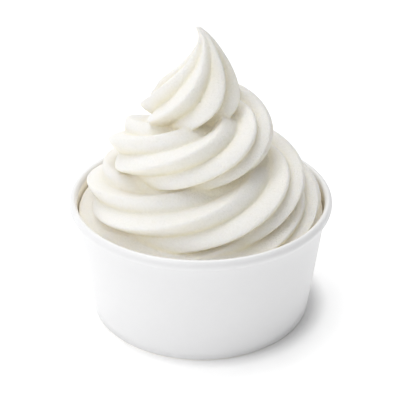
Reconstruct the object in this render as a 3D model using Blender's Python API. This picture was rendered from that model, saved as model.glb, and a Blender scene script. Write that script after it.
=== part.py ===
"""Paper cup of soft-serve frozen yogurt.

The cup is a white paper wall with a rolled rim and a recessed base disc.
The yogurt fills it and rises in one rope from a seven-pointed star nozzle,
laid in a right-handed coil of a little over three turns and drawn up to a curled tip.
The camera side is -Y, and the origin is the middle of the cup's foot.
"""

import math

import bmesh
import bpy
import numpy as np

MM = 0.001

# Cup
RIM_RADIUS = 48.0 * MM
RIM_TOP = 45.7 * MM
ROLL_WIDTH = 2.8 * MM
ROLL_HEIGHT = 4.0 * MM
WALL_TOP_RADIUS = 45.9 * MM
FOOT_RADIUS = 40.5 * MM
PAPER = 0.6 * MM
FOOT_RING = 1.4 * MM
BASE_RECESS = 5.5 * MM
CORNER = 0.5 * MM
ROLL_ENDS = 250
ROLL_STEPS = 11
CUP_SEGMENTS = 64
SHARP_FROM = 60

# Yogurt
GAP = 0.3 * MM
FILL_LEVEL = 41.0 * MM
VALLEY = 0.74
SHOULDER = 0.94
SHOULDER_SPREAD = 0.16
SWAY = 5.4
FLAT_BELOW = 0.58
FLAT_ABOVE = 0.80
RING_STEP = 8
PEAK_RINGS = 26
PEAK_CROWDING = 0.9

# Ridges round the rope's star section: compass direction and relative size, and the same for the peak
RIDGES = ((115, 1.04), (165, 1.05), (224, 1.02), (283, 1.0), (322, 1.0), (366, 0.98), (422, 1.0))
PEAK_RIDGES = ((113, 1.0), (159, 1.0), (186, 1.02), (238, 1.0), (294, 1.0), (334, 1.0), (388, 1.0))

# Stations of the filling inside the coil: height above the foot and radius, in millimetres
CORE = ((46.0, 33.0), (58.0, 27.0), (74.0, 15.0), (88.0, 4.0), (89.0, 0.0))

# Stations of the rope: angle along the coil in degrees, then, in millimetres, how far its middle is
# from the axis, how high it is above the foot, and the radius of the ridges around it
STATIONS = (
    (-600, 31.5, 31.0, 11.0),
    (-540, 32.0, 37.0, 11.5),
    (-450, 32.0, 38.5, 11.5),
    (-360, 32.0, 44.4, 12.5),
    (-270, 31.5, 46.0, 12.0),
    (-180, 28.5, 48.5, 13.0),
    (-90, 26.0, 49.6, 15.8),
    (0, 25.2, 54.7, 13.0),
    (90, 22.0, 58.0, 13.0),
    (180, 19.5, 64.5, 13.5),
    (270, 16.4, 69.0, 13.9),
    (360, 13.0, 73.5, 12.8),
    (450, 9.5, 78.0, 11.0),
    (540, 4.0, 80.0, 8.0),
)

# Stations of the peak, where the rope's end is drawn up to the tip: height above the foot, the middle's
# place across and along, the radius of the ridges, all in millimetres, and how far the star has turned
PEAK = (
    (75.0, -5.5, 0.5, 11.5, -33),
    (79.5, -4.7, 0.2, 16.8, -18),
    (84.0, -2.0, -1.0, 16.9, -7),
    (91.0, -0.2, -1.9, 13.8, 11),
    (98.0, 1.9, -2.2, 8.6, 18),
    (105.0, 2.3, -2.5, 4.0, 16),
    (109.0, 0.9, -2.6, 2.0, 21),
    (111.5, -1.0, -2.6, 1.0, 26),
)


def material(name, colour, roughness):
    """Principled material of one colour."""
    made = bpy.data.materials.new(name)
    made.use_nodes = True
    shader = made.node_tree.nodes["Principled BSDF"]
    shader.inputs["Base Color"].default_value = (*colour, 1.0)
    shader.inputs["Roughness"].default_value = roughness
    shader.inputs["Metallic"].default_value = 0.0
    return made


def shade(mesh):
    """Smooth shading, apart from real edges."""
    mesh.shade_smooth()
    mesh.set_sharp_from_angle(angle=math.radians(SHARP_FROM))


def add_object(name, mesh, surface, collection=None):
    """Object of one mesh and one material."""
    mesh.materials.append(surface)
    made = bpy.data.objects.new(name, mesh)
    (collection or bpy.context.scene.collection).objects.link(made)
    return made


def turned(name, outline, segments):
    """Closed mesh turned about Z from an outline of (radius, height) that starts and ends on the axis,
    or from a closed ring of points clear of the axis."""
    shape = bmesh.new()
    points = [shape.verts.new((radius, 0.0, height)) for radius, height in outline]
    on_axis = outline[0][0] == 0.0
    pairs = list(zip(points, points[1:])) if on_axis else list(zip(points, points[1:] + points[:1]))
    edges = [shape.edges.new(pair) for pair in pairs]
    bmesh.ops.spin(
        shape,
        geom=points + edges,
        axis=(0.0, 0.0, 1.0),
        cent=(0.0, 0.0, 0.0),
        angle=2.0 * math.pi,
        steps=segments,
        use_merge=True,
    )
    bmesh.ops.remove_doubles(shape, verts=shape.verts, dist=0.00001)
    bmesh.ops.recalc_face_normals(shape, faces=shape.faces)
    mesh = bpy.data.meshes.new(name)
    shape.to_mesh(mesh)
    shape.free()
    return mesh


def arc(centre, radii, start, end, steps):
    """Points on an ellipse about centre, from one angle to another in degrees."""
    angles = np.radians(np.linspace(start, end, steps + 1))
    return [(centre[0] + radii[0] * math.cos(a), centre[1] + radii[1] * math.sin(a)) for a in angles]


def wall_radius(height):
    """Outer radius of the cup's wall at a height."""
    shoulder = RIM_TOP - ROLL_HEIGHT
    return FOOT_RADIUS + (WALL_TOP_RADIUS - FOOT_RADIUS) * height / shoulder


def make_cup():
    """Wall, rolled rim and recessed base disc, turned in one piece."""
    roll_middle = (RIM_RADIUS - ROLL_WIDTH / 2, RIM_TOP - ROLL_HEIGHT / 2)
    roll = (ROLL_WIDTH / 2, ROLL_HEIGHT / 2)
    disc_top = BASE_RECESS + PAPER
    lip = arc(roll_middle, roll, ROLL_ENDS - 360, 180, ROLL_STEPS)
    crease = wall_radius(lip[0][1])
    outline = [
        (0.0, BASE_RECESS),
        (FOOT_RADIUS - FOOT_RING - CORNER, BASE_RECESS),
        (FOOT_RADIUS - FOOT_RING, BASE_RECESS - CORNER),
        (FOOT_RADIUS - FOOT_RING, 0.0),
        (FOOT_RADIUS - CORNER / 2, 0.0),
        (FOOT_RADIUS, CORNER / 2),
        (wall_radius(RIM_TOP / 3), RIM_TOP / 3),
        (wall_radius(RIM_TOP * 2 / 3), RIM_TOP * 2 / 3),
        (crease, lip[0][1] - CORNER / 4),
        *lip,
        (wall_radius(RIM_TOP - ROLL_HEIGHT) - PAPER, RIM_TOP - ROLL_HEIGHT),
        (wall_radius(RIM_TOP / 2) - PAPER, RIM_TOP / 2),
        (wall_radius(disc_top) - PAPER, disc_top + CORNER),
        (wall_radius(disc_top) - PAPER - CORNER, disc_top),
        (0.0, disc_top),
    ]
    paper = material("cup_paper", (0.92, 0.92, 0.93), 0.42)
    mesh = turned("cup", outline, CUP_SEGMENTS)
    shade(mesh)
    return add_object("cup", mesh, paper)


def natural_spline(knots, values, at):
    """Natural cubic spline through values at knots, read at the places in at."""
    step = np.diff(knots)
    slope = np.diff(values) / step
    count = len(knots)
    system = np.eye(count)
    bend = np.zeros(count)
    for i in range(1, count - 1):
        system[i, i - 1 : i + 2] = (step[i - 1], 2.0 * (step[i - 1] + step[i]), step[i])
        bend[i] = 6.0 * (slope[i] - slope[i - 1])
    second = np.linalg.solve(system, bend)
    left = np.clip(np.searchsorted(knots, at, side="right") - 1, 0, count - 2)
    width = step[left]
    t = (at - knots[left]) / width
    ease = width**2 / 6.0
    low = (1.0 - t) * values[left] + ((1.0 - t) ** 3 - (1.0 - t)) * ease * second[left]
    high = t * values[left + 1] + (t**3 - t) * ease * second[left + 1]
    return low + high


def star_section(ridges):
    """Star section through its ridges: angle and relative radius of each point, four to a ridge."""
    points = []
    for (ridge, size), (following, next_size) in zip(ridges, ridges[1:] + ridges[:1]):
        gap = (following - ridge) % 360
        spread = SHOULDER_SPREAD * gap
        points.append((ridge, size))
        points.append((ridge + spread, SHOULDER * size))
        points.append((ridge + gap / 2, VALLEY))
        points.append((ridge + gap - spread, SHOULDER * next_size))
    return np.radians([angle for angle, _ in points]), np.array([radius for _, radius in points])


def inside_radius(height):
    """Largest radius that the cup leaves the yogurt at a height."""
    rim = RIM_RADIUS - ROLL_WIDTH - GAP
    return np.where(height > RIM_TOP, np.inf, np.minimum(wall_radius(height) - PAPER - GAP, rim))


def pressed(points):
    """Points pressed flat against the cup's wall where they would pass through it."""
    reach = np.hypot(points[..., 0], points[..., 1])
    share = np.minimum(1.0, inside_radius(points[..., 2]) / reach)
    points[..., :2] *= share[..., None]
    return points


def rope_rings(angles):
    """Rings of points along the rope. The nozzle keeps facing the same way while the cup goes round,
    so a ridge keeps its compass direction, but for a few degrees of sway each time round."""
    knots, reach, height, radius = np.array(STATIONS, float).T
    turn = np.radians(angles)
    out = natural_spline(knots, reach, angles) * MM
    middle = np.stack(
        [
            out * np.cos(turn),
            out * np.sin(turn),
            natural_spline(knots, height, angles) * MM,
        ],
        axis=1,
    )
    along = np.gradient(middle, turn, axis=0)
    along /= np.linalg.norm(along, axis=1, keepdims=True)
    x, y, rise = along.T
    share = 1.0 / (1.0 + rise)
    east = np.stack([rise + y * y * share, -x * y * share, -x], axis=1)
    north = np.stack([-x * y * share, rise + x * x * share, -y], axis=1)
    compass, relative = star_section(RIDGES)
    size = natural_spline(knots, radius, angles) * MM
    facing = compass[None, :, None] - math.radians(SWAY) * np.sin(turn)[:, None, None]
    offset = np.cos(facing) * east[:, None, :] + np.sin(facing) * north[:, None, :]
    offset *= size[:, None, None] * relative[None, :, None]
    flat = np.interp(angles, (STATIONS[0][0], STATIONS[-1][0]), (FLAT_BELOW, FLAT_ABOVE))
    offset[:, :, 2] *= (1.0 - (1.0 - flat) * (1.0 - np.abs(rise)))[:, None]
    return pressed(middle[:, None, :] + offset)


def peak_rings():
    """Level rings of the peak, closer together towards the tip."""
    knots, across, along, radius, turned_by = np.array(PEAK, float).T
    heights = knots[0] + (knots[-1] - knots[0]) * np.linspace(0.0, 1.0, PEAK_RINGS) ** PEAK_CROWDING
    compass, relative = star_section(PEAK_RIDGES)
    rings = []
    for height in heights:
        at = np.array([height])
        angle = compass + np.radians(natural_spline(knots, turned_by, at))
        size = relative * natural_spline(knots, radius, at)
        x = natural_spline(knots, across, at) + size * np.cos(angle)
        y = natural_spline(knots, along, at) + size * np.sin(angle)
        rings.append(np.stack([x, y, np.full(len(angle), height)], axis=1) * MM)
    return rings


def rope_piece(name, rings, surface, collection):
    """Closed length of the rope, skinned from its rings, with a flat cap at each end."""
    shape = bmesh.new()
    loops = [[shape.verts.new(point) for point in ring] for ring in rings]
    around = len(loops[0])
    for lower, upper in zip(loops, loops[1:]):
        for i in range(around):
            j = (i + 1) % around
            shape.faces.new((lower[i], lower[j], upper[j], upper[i]))
    shape.faces.new(reversed(loops[0]))
    shape.faces.new(loops[-1])
    mesh = bpy.data.meshes.new(name)
    shape.to_mesh(mesh)
    shape.free()
    return add_object(name, mesh, surface, collection)


def fill_and_core(surface):
    """What lies under and inside the coil: the cup's full depth, then a steep cone into the peak."""
    floor = BASE_RECESS + PAPER + GAP
    inset = PAPER + 2.0 * GAP
    outline = [
        (0.0, floor),
        (wall_radius(floor) - inset - CORNER, floor),
        (wall_radius(floor) - inset, floor + CORNER),
        (wall_radius(FILL_LEVEL) - inset, FILL_LEVEL),
        *[(radius * MM, height * MM) for height, radius in CORE],
    ]
    return add_object("frozen_yogurt", turned("frozen_yogurt", outline, CUP_SEGMENTS), surface)


def outer_skin(mesh):
    """Fills the pockets that the turns seal between them: the largest closed skin is kept alone."""
    shape = bmesh.new()
    shape.from_mesh(mesh)
    skins = []
    for seed in shape.verts:
        if seed.tag:
            continue
        seed.tag = True
        skin = [seed]
        for vert in skin:
            for edge in vert.link_edges:
                other = edge.other_vert(vert)
                if not other.tag:
                    other.tag = True
                    skin.append(other)
        skins.append(skin)
    skins.sort(key=len)
    pockets = [vert for skin in skins[:-1] for vert in skin]
    bmesh.ops.delete(shape, geom=pockets, context="VERTS")
    shape.to_mesh(mesh)
    shape.free()


def make_yogurt():
    """The rope, its peak, the fill and the core, joined by one union."""
    surface = material("frozen_yogurt", (0.93, 0.90, 0.83), 0.38)
    ropes = bpy.data.collections.new("rope")
    bpy.context.scene.collection.children.link(ropes)
    first = STATIONS[0][0]
    last = STATIONS[-1][0]
    angles = np.arange(first, last + RING_STEP / 2, RING_STEP, dtype=float)
    rings = rope_rings(angles)
    rope_piece("rope", rings, surface, ropes)
    rope_piece("peak", peak_rings(), surface, ropes)
    yogurt = fill_and_core(surface)
    union = yogurt.modifiers.new("join rope", "BOOLEAN")
    union.operation = "UNION"
    union.operand_type = "COLLECTION"
    union.collection = ropes
    union.solver = "EXACT"
    union.use_self = True
    joined = bpy.data.meshes.new_from_object(yogurt.evaluated_get(bpy.context.evaluated_depsgraph_get()))
    yogurt.modifiers.clear()
    outer_skin(joined)
    shade(joined)
    yogurt.data = joined
    for piece in list(ropes.objects):
        bpy.data.objects.remove(piece)
    bpy.data.collections.remove(ropes)
    return yogurt


for old in list(bpy.data.objects):
    bpy.data.objects.remove(old)
make_cup()
make_yogurt()
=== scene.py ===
"""A white paper cup filled with a tall swirl of vanilla frozen yogurt, on a white studio table."""

import math

import bmesh
import bpy
import numpy as np
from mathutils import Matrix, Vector


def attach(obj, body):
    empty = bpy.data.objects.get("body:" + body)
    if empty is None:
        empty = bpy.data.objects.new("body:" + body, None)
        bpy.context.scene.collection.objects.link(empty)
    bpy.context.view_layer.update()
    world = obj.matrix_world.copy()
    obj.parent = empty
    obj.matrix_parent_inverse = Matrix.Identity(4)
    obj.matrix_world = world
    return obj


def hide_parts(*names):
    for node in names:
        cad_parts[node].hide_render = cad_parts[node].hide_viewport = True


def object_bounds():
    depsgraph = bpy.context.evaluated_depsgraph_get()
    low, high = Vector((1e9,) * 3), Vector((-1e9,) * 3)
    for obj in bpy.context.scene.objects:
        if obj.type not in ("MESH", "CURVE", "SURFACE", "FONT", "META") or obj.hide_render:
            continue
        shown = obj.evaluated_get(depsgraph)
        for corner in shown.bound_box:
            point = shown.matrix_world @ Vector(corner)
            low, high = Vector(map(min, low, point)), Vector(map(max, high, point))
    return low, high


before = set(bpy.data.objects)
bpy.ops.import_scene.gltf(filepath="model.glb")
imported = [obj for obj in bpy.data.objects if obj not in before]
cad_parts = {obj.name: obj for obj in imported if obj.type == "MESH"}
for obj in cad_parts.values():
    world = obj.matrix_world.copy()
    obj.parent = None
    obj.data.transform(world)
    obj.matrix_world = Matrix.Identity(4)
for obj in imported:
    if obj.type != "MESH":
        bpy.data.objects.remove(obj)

solid_low, solid_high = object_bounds()
scene = bpy.context.scene

# The backdrop
# A white sheet of paper lies under the cup and runs far past the picture on every side, so that it
# is the whole background. It glows a little, to be as white as the page, except close round the
# foot, so that part of the cup's shade there is the missing glow.
MM = 0.001
STUDIO_REACH = 3.0
BACKDROP_TONE = 0.925
BACKDROP_GLOW = 0.30
TOOTH_SCALE = 900.0
SHADE_PLACE = 3.0 * MM
SHADE_FROM = 39.5 * MM
SHADE_WIDTH = 6.0 * MM


class Link:
    """One output of a material's nodes. Arithmetic on links adds the Math nodes that work it out."""

    def __init__(self, tree, socket=None):
        self.tree = tree
        self.socket = socket

    def node(self, kind, settings=None, inputs=None, output=0):
        """Adds a node: its settings first, then the values or links of its sockets."""
        made = self.tree.nodes.new(kind)
        for name, value in (settings or {}).items():
            if name == "stops":
                set_stops(made.color_ramp, value)
            else:
                setattr(made, name, value)
        for name, value in (inputs or {}).items():
            self.plug(made.inputs[name], value)
        return Link(self.tree, made.outputs[output])

    def plug(self, target, value):
        """Links a socket to a value that varies, or sets it to one that doesn't."""
        if isinstance(value, Link):
            self.tree.links.new(value.socket, target)
        else:
            target.default_value = value

    def math(self, operation, first, second):
        return self.node("ShaderNodeMath", {"operation": operation}, {0: first, 1: second})

    def __add__(self, other):
        return self.math("ADD", self, other)

    def __radd__(self, other):
        return self.math("ADD", other, self)

    def __sub__(self, other):
        return self.math("SUBTRACT", self, other)

    def __rsub__(self, other):
        return self.math("SUBTRACT", other, self)

    def __mul__(self, other):
        return self.math("MULTIPLY", self, other)

    def __rmul__(self, other):
        return self.math("MULTIPLY", other, self)

    def __pow__(self, other):
        return self.math("POWER", self, other)


def set_stops(ramp, stops):
    """A colour ramp's stops: the place and the colour of each."""
    while len(ramp.elements) < len(stops):
        ramp.elements.new(1.0)
    for element, (place, colour) in zip(ramp.elements, stops):
        element.position = place
        element.color = (*colour, 1.0)


def rise_over(value, width):
    """0 where a link's value is negative, 1 where it is more than width, and even in between."""
    return value.node("ShaderNodeMath", {"operation": "DIVIDE", "use_clamp": True}, {0: value, 1: width})


def grey(tone, blue):
    """A near grey: the same tone in red and green, and its own in blue."""
    return tone.node("ShaderNodeCombineColor", inputs={"Red": tone, "Green": tone, "Blue": blue})


def new_material(name, **constants):
    """A material with one Principled shader and its constants, and a Link that adds nodes to it."""
    made = bpy.data.materials.new(name)
    made.use_nodes = True
    shader = made.node_tree.nodes["Principled BSDF"]
    for socket, value in constants.items():
        shader.inputs[socket.replace("_", " ")].default_value = value
    return made, shader, Link(made.node_tree)


def place(name, mesh, material):
    """The object of a finished mesh, at the origin."""
    mesh.materials.clear()
    mesh.materials.append(material)
    made = bpy.data.objects.new(name, mesh)
    scene.collection.objects.link(made)
    return made


def paper_sheet_material():
    """Matt white backdrop paper with a faint tooth, which glows everywhere but round the cup's foot."""
    made, shader, start = new_material(
        "backdrop_paper",
        Roughness=0.9,
        Specular_IOR_Level=0.1,
        Emission_Strength=BACKDROP_GLOW,
    )
    where = start.node("ShaderNodeTexCoord", output="Object")
    tooth = start.node("ShaderNodeTexNoise", inputs={"Vector": where, "Scale": TOOTH_SCALE, "Detail": 2.0})
    shade = tooth * 0.01 + BACKDROP_TONE
    start.plug(shader.inputs["Base Color"], grey(shade, shade))
    x, y = [start.node("ShaderNodeSeparateXYZ", inputs={0: where}, output=axis) for axis in range(2)]
    x = x - SHADE_PLACE
    glow = rise_over((x * x + y * y) ** 0.5 - SHADE_FROM, SHADE_WIDTH)
    start.plug(shader.inputs["Emission Color"], grey(glow, glow))
    return made


shape = bmesh.new()
bmesh.ops.create_grid(shape, x_segments=8, y_segments=8, size=STUDIO_REACH)
mesh = bpy.data.meshes.new("backdrop")
shape.to_mesh(mesh)
shape.free()
backdrop = place("backdrop", mesh, paper_sheet_material())

# The camera and the lamps
# A long lens looks down on the cup. Wide soft lamps high at the back and high on the left, and a low
# one at the front left, light it, and the white room, brightest on the left, fills the shadows.
RIM_RADIUS = solid_high[0]
RIM_MIDDLE = 43.7 * MM
VIEW_RISE = math.radians(29.15)
VIEW_DISTANCE = 9.671 * RIM_RADIUS
FOCAL_SHARE = 1267.6 / 400.0
VIEW_SHIFT = (-0.00195, -0.0055)
LAMP_DISTANCE = 1.2
ROOM_LIGHT = 0.465
ROOM_SLOPE = 0.20
LIGHT_BOUNCES = 12

towards_camera = Vector((0.0, -math.cos(VIEW_RISE), math.sin(VIEW_RISE)))
lens = bpy.data.cameras.new("camera")
lens.sensor_width = 36.0
lens.lens = lens.sensor_width * FOCAL_SHARE
lens.shift_x, lens.shift_y = VIEW_SHIFT
camera = bpy.data.objects.new("camera", lens)
camera.location = Vector((0.0, 0.0, RIM_MIDDLE)) + towards_camera * VIEW_DISTANCE
camera.rotation_euler = towards_camera.to_track_quat("Z", "Y").to_euler()
scene.collection.objects.link(camera)
scene.camera = camera
scene.view_settings.view_transform = "Standard"

# Light goes to and fro many times in the creases of something this white
scene.cycles.diffuse_bounces = LIGHT_BOUNCES


def add_lamp(name, compass, rise, size, power):
    """A square soft lamp that looks at the cup. Compass 0 is the camera's side and 90 the right."""
    data = bpy.data.lights.new(name, "AREA")
    data.shape = "SQUARE"
    data.size = size
    data.energy = power
    turn = math.radians(compass)
    tilt = math.radians(rise)
    towards = Vector((math.sin(turn) * math.cos(tilt), -math.cos(turn) * math.cos(tilt), math.sin(tilt)))
    lamp = bpy.data.objects.new(name, data)
    lamp.location = Vector((0.0, 0.0, RIM_MIDDLE)) + towards * LAMP_DISTANCE
    lamp.rotation_euler = towards.to_track_quat("Z", "Y").to_euler()
    scene.collection.objects.link(lamp)


add_lamp("front_lamp", compass=-40.0, rise=32.0, size=0.6, power=2.3)
add_lamp("left_lamp", compass=-70.0, rise=66.0, size=0.5, power=2.2)
add_lamp("back_lamp", compass=180.0, rise=72.0, size=0.8, power=6.2)
room = bpy.data.worlds.new("white_room")
room.use_nodes = True
sky = Link(room.node_tree)
across = sky.node("ShaderNodeSeparateXYZ", inputs={0: sky.node("ShaderNodeTexCoord")})
background = room.node_tree.nodes["Background"]
background.inputs["Color"].default_value = (1.0, 1.0, 1.0, 1.0)
sky.plug(background.inputs["Strength"], ROOM_LIGHT - across * ROOM_SLOPE)
scene.world = room

# The paper cup
# One blank of coated white paper, wrapped to a cone and sealed. Its top edge is rolled outwards into
# the rim, and a disc is crimped in a little above the foot.
RIM_TOP = 45.7 * MM
ROLL_WIDTH = 2.8 * MM
ROLL_HEIGHT = 4.0 * MM
WALL_TOP_RADIUS = 45.9 * MM
FOOT_RADIUS = 40.5 * MM
PAPER = 0.6 * MM
FOOT_RING = 1.4 * MM
FOOT_ROUND = 0.9 * MM
FOOT_EDGE = 0.2 * MM
BASE_RECESS = 5.5 * MM
BASE_BEND = 0.5 * MM
CUP_SEGMENTS = 256

# Finish: the paper's tone, painted light that makes the top of the rim lighter where it faces up to
# the lamps, and the cream tint of the inner wall. The last two are guesses, set to match the colours
# in the photo
PAPER_TONE = 0.79
RIM_PAINTED_LIGHT_RISE = 0.07
RIM_PAINTED_LIGHT_FROM = RIM_TOP - 1.7 * MM
INNER_WALL_TINT = (0.99, 0.95, 0.86, 1.0)
INNER_TINT_TOP = RIM_TOP - 1.5 * MM
CLOUD_SCALE = 260.0
FIBRE_SCALE = 1500.0
PEEL_DEPTH = 0.04 * MM


def wall_radius(height):
    """Outer radius of the cup's wall at a height."""
    return FOOT_RADIUS + (WALL_TOP_RADIUS - FOOT_RADIUS) * height / (RIM_TOP - ROLL_HEIGHT)


def turn_about_axis(name, outline, segments):
    """Mesh spun about Z from an outline of (radius, height) that starts and ends on the axis."""
    shape = bmesh.new()
    points = [shape.verts.new((radius, 0.0, height)) for radius, height in outline]
    edges = [shape.edges.new(pair) for pair in zip(points, points[1:])]
    bmesh.ops.spin(
        shape,
        geom=points + edges,
        axis=(0.0, 0.0, 1.0),
        cent=(0.0, 0.0, 0.0),
        angle=2.0 * math.pi,
        steps=segments,
        use_merge=True,
    )
    bmesh.ops.remove_doubles(shape, verts=shape.verts, dist=0.01 * MM)
    bmesh.ops.recalc_face_normals(shape, faces=shape.faces)
    mesh = bpy.data.meshes.new(name)
    shape.to_mesh(mesh)
    shape.free()
    mesh.shade_smooth()
    mesh.set_sharp_from_angle(angle=math.radians(50))
    return mesh


def arc(centre, width, height, start, end, steps):
    """Points on an ellipse about centre, from one angle to another in degrees."""
    turns = np.radians(np.linspace(start, end, steps + 1))
    return [(centre[0] + width * math.cos(a), centre[1] + height * math.sin(a)) for a in turns]


def paper_material():
    """White paper board with a thin satin coating: faint cloudy fibres and a little orange peel. The
    top of the rim has painted light, which makes it lighter, and the inner wall is tinted cream, as
    the photo shows them."""
    made, shader, start = new_material("cup_paper", Coat_Weight=0.4, Coat_Roughness=0.3)
    where = start.node("ShaderNodeTexCoord", output="Object")
    x, y, z = [start.node("ShaderNodeSeparateXYZ", inputs={0: where}, output=axis) for axis in range(3)]
    clouds = start.node("ShaderNodeTexNoise", inputs={"Vector": where, "Scale": CLOUD_SCALE, "Detail": 4.0})
    fibres = start.node("ShaderNodeTexNoise", inputs={"Vector": where, "Scale": FIBRE_SCALE, "Detail": 3.0})
    # Painted light: the top of the rim is made lighter, as the lamps fall on what faces up
    painted_rim_light = rise_over(z - RIM_PAINTED_LIGHT_FROM, MM)
    tone = clouds * 0.02 + fibres * 0.015 + painted_rim_light * RIM_PAINTED_LIGHT_RISE + PAPER_TONE
    # The inner wall, from a little under the rim down, is tinted cream and made lighter than the paper
    slant = (WALL_TOP_RADIUS - FOOT_RADIUS) / (RIM_TOP - ROLL_HEIGHT)
    inward = z * slant + (FOOT_RADIUS - PAPER / 2) - (x * x + y * y) ** 0.5
    inner_tint = rise_over(inward, PAPER / 4) * rise_over(INNER_TINT_TOP - z, MM)
    start.plug(
        shader.inputs["Base Color"],
        start.node(
            "ShaderNodeMix",
            {"data_type": "RGBA"},
            {0: inner_tint, 6: grey(tone, tone + 0.006), 7: INNER_WALL_TINT},
            output=2,
        ),
    )
    start.plug(shader.inputs["Roughness"], fibres * 0.12 + 0.34)
    peel = clouds * 0.6 + fibres * 0.4
    start.plug(
        shader.inputs["Normal"],
        start.node("ShaderNodeBump", inputs={"Strength": 0.25, "Distance": PEEL_DEPTH, "Height": peel}),
    )
    return made


disc_top = BASE_RECESS + PAPER
disc_edge = FOOT_RADIUS - FOOT_RING - BASE_BEND
roll_bottom = RIM_TOP - ROLL_HEIGHT
roll_middle = (RIM_RADIUS - ROLL_WIDTH / 2, RIM_TOP - ROLL_HEIGHT / 2)
foot_middle = (FOOT_RADIUS - FOOT_ROUND, FOOT_ROUND)
outline = [
    (0.0, BASE_RECESS),
    (disc_edge, BASE_RECESS),
    *arc((disc_edge, BASE_RECESS - BASE_BEND), BASE_BEND, BASE_BEND, start=80, end=0, steps=3),
    (FOOT_RADIUS - FOOT_RING, FOOT_EDGE),
    (FOOT_RADIUS - FOOT_RING + FOOT_EDGE, 0.0),
    *arc(foot_middle, FOOT_ROUND, FOOT_ROUND, start=-90, end=0, steps=6),
    *[(wall_radius(z * MM), z * MM) for z in np.linspace(1.0, 41.0, 9)],
    *arc(roll_middle, ROLL_WIDTH / 2, ROLL_HEIGHT / 2, start=-110, end=180, steps=40),
    (wall_radius(roll_bottom) - PAPER, roll_bottom),
    *[(wall_radius(z * MM) - PAPER, z * MM) for z in np.linspace(38.0, 8.0, 5)],
    (wall_radius(disc_top) - PAPER, disc_top + BASE_BEND),
    (wall_radius(disc_top) - PAPER - BASE_BEND, disc_top),
    (0.0, disc_top),
]
cup = place("paper_cup", turn_about_axis("paper_cup", outline, CUP_SEGMENTS), paper_material())
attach(cup, "root")
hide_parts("cup")

# The frozen yogurt
# Soft frozen yogurt from a seven-pointed star nozzle. One thick ridged rope is laid round the cup a
# little over three times, each turn narrower and higher, and ends in a peak, drawn up to a point.
GAP = 0.3 * MM
FILL_LEVEL = 41.0 * MM
VALLEY = 0.71
CREST_ROUND = 0.06
FLANK_PUFF = 0.012
FLANK_STEPS = 10
SWAY = 5.4
FLAT_BELOW = 0.58
FLAT_ABOVE = 0.80
RING_STEP = 2
PEAK_RINGS = 120
CORE_SEGMENTS = 128
SKIN_GRID = 0.42 * MM
SKIN_TRIANGLES = 190000
CREASE_PASSES = 30
CREASE_DEPTH = 1.2 * MM
FOLD_PASSES = 240
FOLD_DEPTH = 2.4 * MM

# Finish: the cream's colour with painted shade, from a lit crest to the bottom of a deep fold, the
# side that the lamps light most, away from which shade is painted, and the tint of the frozen grain
CREAM_AND_PAINTED_SHADE = (
    (0.2, (0.99, 0.97, 0.925)),
    (0.5, (0.985, 0.945, 0.85)),
    (0.85, (0.985, 0.92, 0.75)),
)
LIT_SIDE = (-0.4, 0.0, 0.92)
ICE_TONES = ((0.35, (0.96, 0.96, 0.95)), (0.62, (1.0, 1.0, 1.0)))
DRIFT_SCALE = 60.0
GRAIN_SCALE = 1400.0
GRAIN_DEPTH = 0.5 * MM

# Ridges round the rope's star section: compass direction and relative size, and the same for the
# peak. These and the stations below were fitted to crests read off the photo, and rounded
RIDGES = ((115, 1.04), (165, 1.05), (224, 1.02), (283, 1.0), (322, 1.0), (366, 0.98), (422, 1.0))
PEAK_RIDGES = ((113, 1.0), (159, 1.0), (186, 1.02), (238, 1.0), (294, 1.0), (334, 1.0), (388, 1.0))

# Stations of the rope: angle along the coil in degrees, then, in millimetres, how far its middle is
# from the axis, how high it is above the foot, and the radius of the ridges around it
STATIONS = (
    (-600, 31.5, 31.0, 11.0),
    (-540, 32.0, 37.0, 11.5),
    (-450, 32.0, 38.5, 11.5),
    (-360, 32.0, 44.4, 12.5),
    (-270, 31.5, 46.0, 12.0),
    (-180, 28.5, 48.5, 13.0),
    (-90, 26.0, 49.6, 15.8),
    (0, 25.2, 54.7, 13.0),
    (90, 22.0, 58.0, 13.0),
    (180, 19.5, 64.5, 13.5),
    (270, 16.4, 69.0, 13.9),
    (360, 13.0, 73.5, 12.8),
    (450, 9.5, 78.0, 11.0),
    (540, 4.0, 80.0, 8.0),
)

# Stations of the peak: height above the foot, the middle's place across and along, the radius of
# the ridges, all in millimetres, and how far the star has turned in degrees
PEAK = (
    (75.0, -5.5, 0.5, 11.5, -33),
    (79.5, -4.7, 0.2, 16.8, -18),
    (84.0, -2.0, -1.0, 16.9, -7),
    (91.0, -0.2, -1.9, 13.8, 11),
    (98.0, 1.9, -2.2, 8.6, 18),
    (105.0, 2.3, -2.5, 4.0, 16),
    (109.0, 0.9, -2.6, 2.0, 21),
    (111.5, -1.0, -2.6, 1.0, 26),
)

# Outline of the core that the rope is wound on: millimetres from the axis and above the foot
CORE = ((33.0, 46.0), (27.0, 58.0), (15.0, 74.0), (4.0, 88.0), (0.0, 89.0))


def natural_spline(knots, values, at):
    """Natural cubic spline through values at knots, read at the places in at."""
    step = np.diff(knots)
    slope = np.diff(values) / step
    count = len(knots)
    system = np.eye(count)
    bend = np.zeros(count)
    for i in range(1, count - 1):
        system[i, i - 1 : i + 2] = (step[i - 1], 2.0 * (step[i - 1] + step[i]), step[i])
        bend[i] = 6.0 * (slope[i] - slope[i - 1])
    second = np.linalg.solve(system, bend)
    left = np.clip(np.searchsorted(knots, at, side="right") - 1, 0, count - 2)
    width = step[left]
    t = (at - knots[left]) / width
    ease = width**2 / 6.0
    low = (1.0 - t) * values[left] + ((1.0 - t) ** 3 - (1.0 - t)) * ease * second[left]
    high = t * values[left + 1] + (t**3 - t) * ease * second[left + 1]
    return low + high


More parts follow.
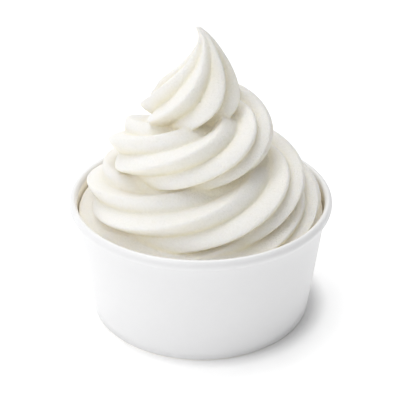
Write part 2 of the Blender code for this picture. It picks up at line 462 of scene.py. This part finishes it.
def star_section(ridges):
    """Star section through its ridges: the angle and relative radius of each of its points. A ridge
    has a small round crest and nearly straight flanks, and the valleys are sharp."""
    angles = []
    radii = []
    whole_fall = math.hypot(1.0, CREST_ROUND) - CREST_ROUND
    for (ridge, size), (following, next_size) in zip(ridges, ridges[1:] + ridges[:1]):
        gap = (following - ridge) % 360
        for part in range(FLANK_STEPS * 2):
            share = part / (FLANK_STEPS * 2)
            away = 1.0 - abs(2.0 * share - 1.0)
            crest = size if share < 0.5 else next_size
            fall = (math.hypot(away, CREST_ROUND) - CREST_ROUND) / whole_fall
            angles.append(ridge + share * gap)
            radii.append(crest - (crest - VALLEY) * fall + FLANK_PUFF * math.sin(math.pi * away))
    return np.radians(angles), np.array(radii)


def pressed(points):
    """Points pressed flat against the cup's wall where they would pass through it."""
    height = points[..., 2]
    rim = RIM_RADIUS - ROLL_WIDTH - GAP
    limit = np.where(height > RIM_TOP, np.inf, np.minimum(wall_radius(height) - PAPER - GAP, rim))
    share = np.minimum(1.0, limit / np.hypot(points[..., 0], points[..., 1]))
    points[..., :2] *= share[..., None]
    return points


def rope_rings(angles):
    """Rings of points along the rope. The nozzle keeps facing the same way while the cup goes round,
    so each ridge keeps its compass direction, but for a few degrees of sway each time round. Each
    ring's own east and north are the compass's, tipped the shortest way to stand square to the rope."""
    knots, reach, height, radius = np.array(STATIONS, float).T
    turn = np.radians(angles)
    out = natural_spline(knots, reach, angles) * MM
    rise = natural_spline(knots, height, angles) * MM
    middle = np.stack([out * np.cos(turn), out * np.sin(turn), rise], axis=1)
    along = np.gradient(middle, turn, axis=0)
    along /= np.linalg.norm(along, axis=1, keepdims=True)
    x, y, rise = along.T
    share = 1.0 / (1.0 + rise)
    east = np.stack([rise + y * y * share, -x * y * share, -x], axis=1)
    north = np.stack([-x * y * share, rise + x * x * share, -y], axis=1)
    compass, relative = star_section(RIDGES)
    size = natural_spline(knots, radius, angles) * MM
    facing = compass[None, :, None] - math.radians(SWAY) * np.sin(turn)[:, None, None]
    offset = np.cos(facing) * east[:, None, :] + np.sin(facing) * north[:, None, :]
    offset *= size[:, None, None] * relative[None, :, None]
    flat = np.interp(angles, (STATIONS[0][0], STATIONS[-1][0]), (FLAT_BELOW, FLAT_ABOVE))
    offset[:, :, 2] *= (1.0 - (1.0 - flat) * (1.0 - np.abs(rise)))[:, None]
    return pressed(middle[:, None, :] + offset)


def peak_rings():
    """Level rings of the peak, closer together towards the tip."""
    knots, across, along, radius, turned_by = np.array(PEAK, float).T
    heights = knots[0] + (knots[-1] - knots[0]) * np.linspace(0.0, 1.0, PEAK_RINGS) ** 0.9
    compass, relative = star_section(PEAK_RIDGES)
    angle = compass[None, :] + np.radians(natural_spline(knots, turned_by, heights))[:, None]
    size = relative[None, :] * natural_spline(knots, radius, heights)[:, None]
    x = natural_spline(knots, across, heights)[:, None] + size * np.cos(angle)
    y = natural_spline(knots, along, heights)[:, None] + size * np.sin(angle)
    return np.stack([x, y, np.broadcast_to(heights[:, None], x.shape)], axis=2) * MM


def add_tube(shape, rings):
    """Bends a grid into a closed tube through rings of points, and closes both its ends."""
    count, around = rings.shape[:2]
    grid = bmesh.ops.create_grid(shape, x_segments=around, y_segments=count - 1, size=1.0)["verts"]
    places = np.concatenate([rings, rings[:, :1]], axis=1).reshape(-1, 3)
    for vert, point in zip(grid, places):
        vert.co = point
    bmesh.ops.remove_doubles(shape, verts=grid, dist=0.001 * MM)
    bmesh.ops.holes_fill(shape, edges=[edge for edge in shape.edges if edge.is_boundary], sides=0)


def fill_outline():
    """Outline of what lies under and inside the coil, from the cup's base disc to the peak."""
    floor = BASE_RECESS + PAPER + GAP
    inset = PAPER + 2.0 * GAP
    return [
        (0.0, floor),
        (wall_radius(floor) - inset, floor),
        (wall_radius(FILL_LEVEL) - inset, FILL_LEVEL),
        *[(radius * MM, height * MM) for radius, height in CORE],
    ]


def swirl_mesh():
    """The rope, its peak and the filling under them, merged into one skin."""
    angles = np.arange(STATIONS[0][0], STATIONS[-1][0] + RING_STEP / 2, RING_STEP, dtype=float)
    filling = turn_about_axis("filling", fill_outline(), CORE_SEGMENTS)
    shape = bmesh.new()
    shape.from_mesh(filling)
    add_tube(shape, rope_rings(angles))
    add_tube(shape, peak_rings())
    bmesh.ops.recalc_face_normals(shape, faces=shape.faces)
    raw = bpy.data.meshes.new("swirl_raw")
    shape.to_mesh(raw)
    shape.free()
    holder = bpy.data.objects.new("swirl_raw", raw)
    scene.collection.objects.link(holder)
    skin = holder.modifiers.new("skin", "REMESH")
    skin.mode = "VOXEL"
    skin.voxel_size = SKIN_GRID
    thin = holder.modifiers.new("thin", "DECIMATE")
    thin.ratio = 1.0
    dense = holder.evaluated_get(bpy.context.evaluated_depsgraph_get()).data
    thin.ratio = min(1.0, SKIN_TRIANGLES / (2.0 * len(dense.polygons)))
    made = bpy.data.meshes.new_from_object(holder.evaluated_get(bpy.context.evaluated_depsgraph_get()))
    bpy.data.objects.remove(holder)
    bpy.data.meshes.remove(raw)
    bpy.data.meshes.remove(filling)
    return made


def mark_hollows(mesh):
    """Keeps in the attribute hollow how deep each point lies, in a crease between two ridges or in a
    fold between two turns: about 0 on a crest, 0.5 on a flat and 1 at the bottom of a deep fold. The
    depth is how far a point moves out when a copy of the skin is smoothed, a little and then a lot."""
    count = len(mesh.vertices)
    points = np.empty(count * 3)
    normals = np.empty(count * 3)
    ends = np.empty(len(mesh.edges) * 2, dtype=int)
    mesh.vertices.foreach_get("co", points)
    mesh.vertices.foreach_get("normal", normals)
    mesh.edges.foreach_get("vertices", ends)
    points = points.reshape(-1, 3)
    normals = normals.reshape(-1, 3)
    first, second = ends.reshape(-1, 2).T
    neighbours = np.bincount(ends, minlength=count)[:, None]
    even = points.copy()
    for step in range(FOLD_PASSES):
        around = [
            np.bincount(first, even[second, axis], count) + np.bincount(second, even[first, axis], count)
            for axis in range(3)
        ]
        even = 0.5 * even + 0.5 * np.stack(around, axis=1) / neighbours
        if step == CREASE_PASSES:
            crease = ((even - points) * normals).sum(axis=1)
    fold = ((even - points) * normals).sum(axis=1)
    hollow = mesh.attributes.new("hollow", "FLOAT", "POINT")
    hollow.data.foreach_set("value", np.clip(0.5 + fold / FOLD_DEPTH + crease / CREASE_DEPTH, 0.0, 1.0))


def yogurt_material():
    """Dense milk ice: ivory, cloudy inside, satin on the outside with fine frozen grain. Folds and what
    faces away from LIT_SIDE are painted darker and warmer. This painted shade stands in for shade and
    for light that passes through real yogurt, and it is part of the colour, so it stays put when the
    lamps move."""
    made, shader, start = new_material(
        "frozen_yogurt",
        Subsurface_Weight=0.3,
        Subsurface_Scale=1.5 * MM,
        Subsurface_Radius=(1.0, 0.9, 0.7),
        IOR=1.38,
        Specular_IOR_Level=0.5,
    )
    where = start.node("ShaderNodeTexCoord", output="Object")
    drift = start.node("ShaderNodeTexNoise", inputs={"Vector": where, "Scale": DRIFT_SCALE, "Detail": 3.0})
    grain = start.node(
        "ShaderNodeTexNoise",
        inputs={"Vector": where, "Scale": GRAIN_SCALE, "Detail": 4.0, "Roughness": 0.65},
    )
    hollow = start.node("ShaderNodeAttribute", {"attribute_name": "hollow"}, output="Fac")
    lit = start.node(
        "ShaderNodeVectorMath",
        {"operation": "DOT_PRODUCT"},
        {0: start.node("ShaderNodeNewGeometry", output="Normal"), 1: LIT_SIDE},
        output="Value",
    )
    # Painted shade: the cream tones go darker and warmer into creases and folds and on what faces away from
    # LIT_SIDE
    depth = hollow * 0.45 - lit * 0.375 + drift * 0.3 + 0.225
    cream = start.node("ShaderNodeValToRGB", {"stops": CREAM_AND_PAINTED_SHADE}, {"Fac": depth})
    ice = start.node("ShaderNodeValToRGB", {"stops": ICE_TONES}, {"Fac": grain})
    start.plug(
        shader.inputs["Base Color"],
        start.node(
            "ShaderNodeMix",
            {"data_type": "RGBA", "blend_type": "MULTIPLY"},
            {0: 1.0, 6: cream, 7: ice},
            output=2,
        ),
    )
    start.plug(shader.inputs["Roughness"], grain * 0.4 + 0.18)
    start.plug(
        shader.inputs["Normal"],
        start.node("ShaderNodeBump", inputs={"Strength": 1.0, "Distance": GRAIN_DEPTH, "Height": grain}),
    )
    return made


swirl = swirl_mesh()
# The attribute hollow sets where the yogurt's colour has painted shade in creases and folds
mark_hollows(swirl)
swirl.shade_smooth()
yogurt = place("soft_serve", swirl, yogurt_material())
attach(yogurt, "root")
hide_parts("frozen_yogurt")
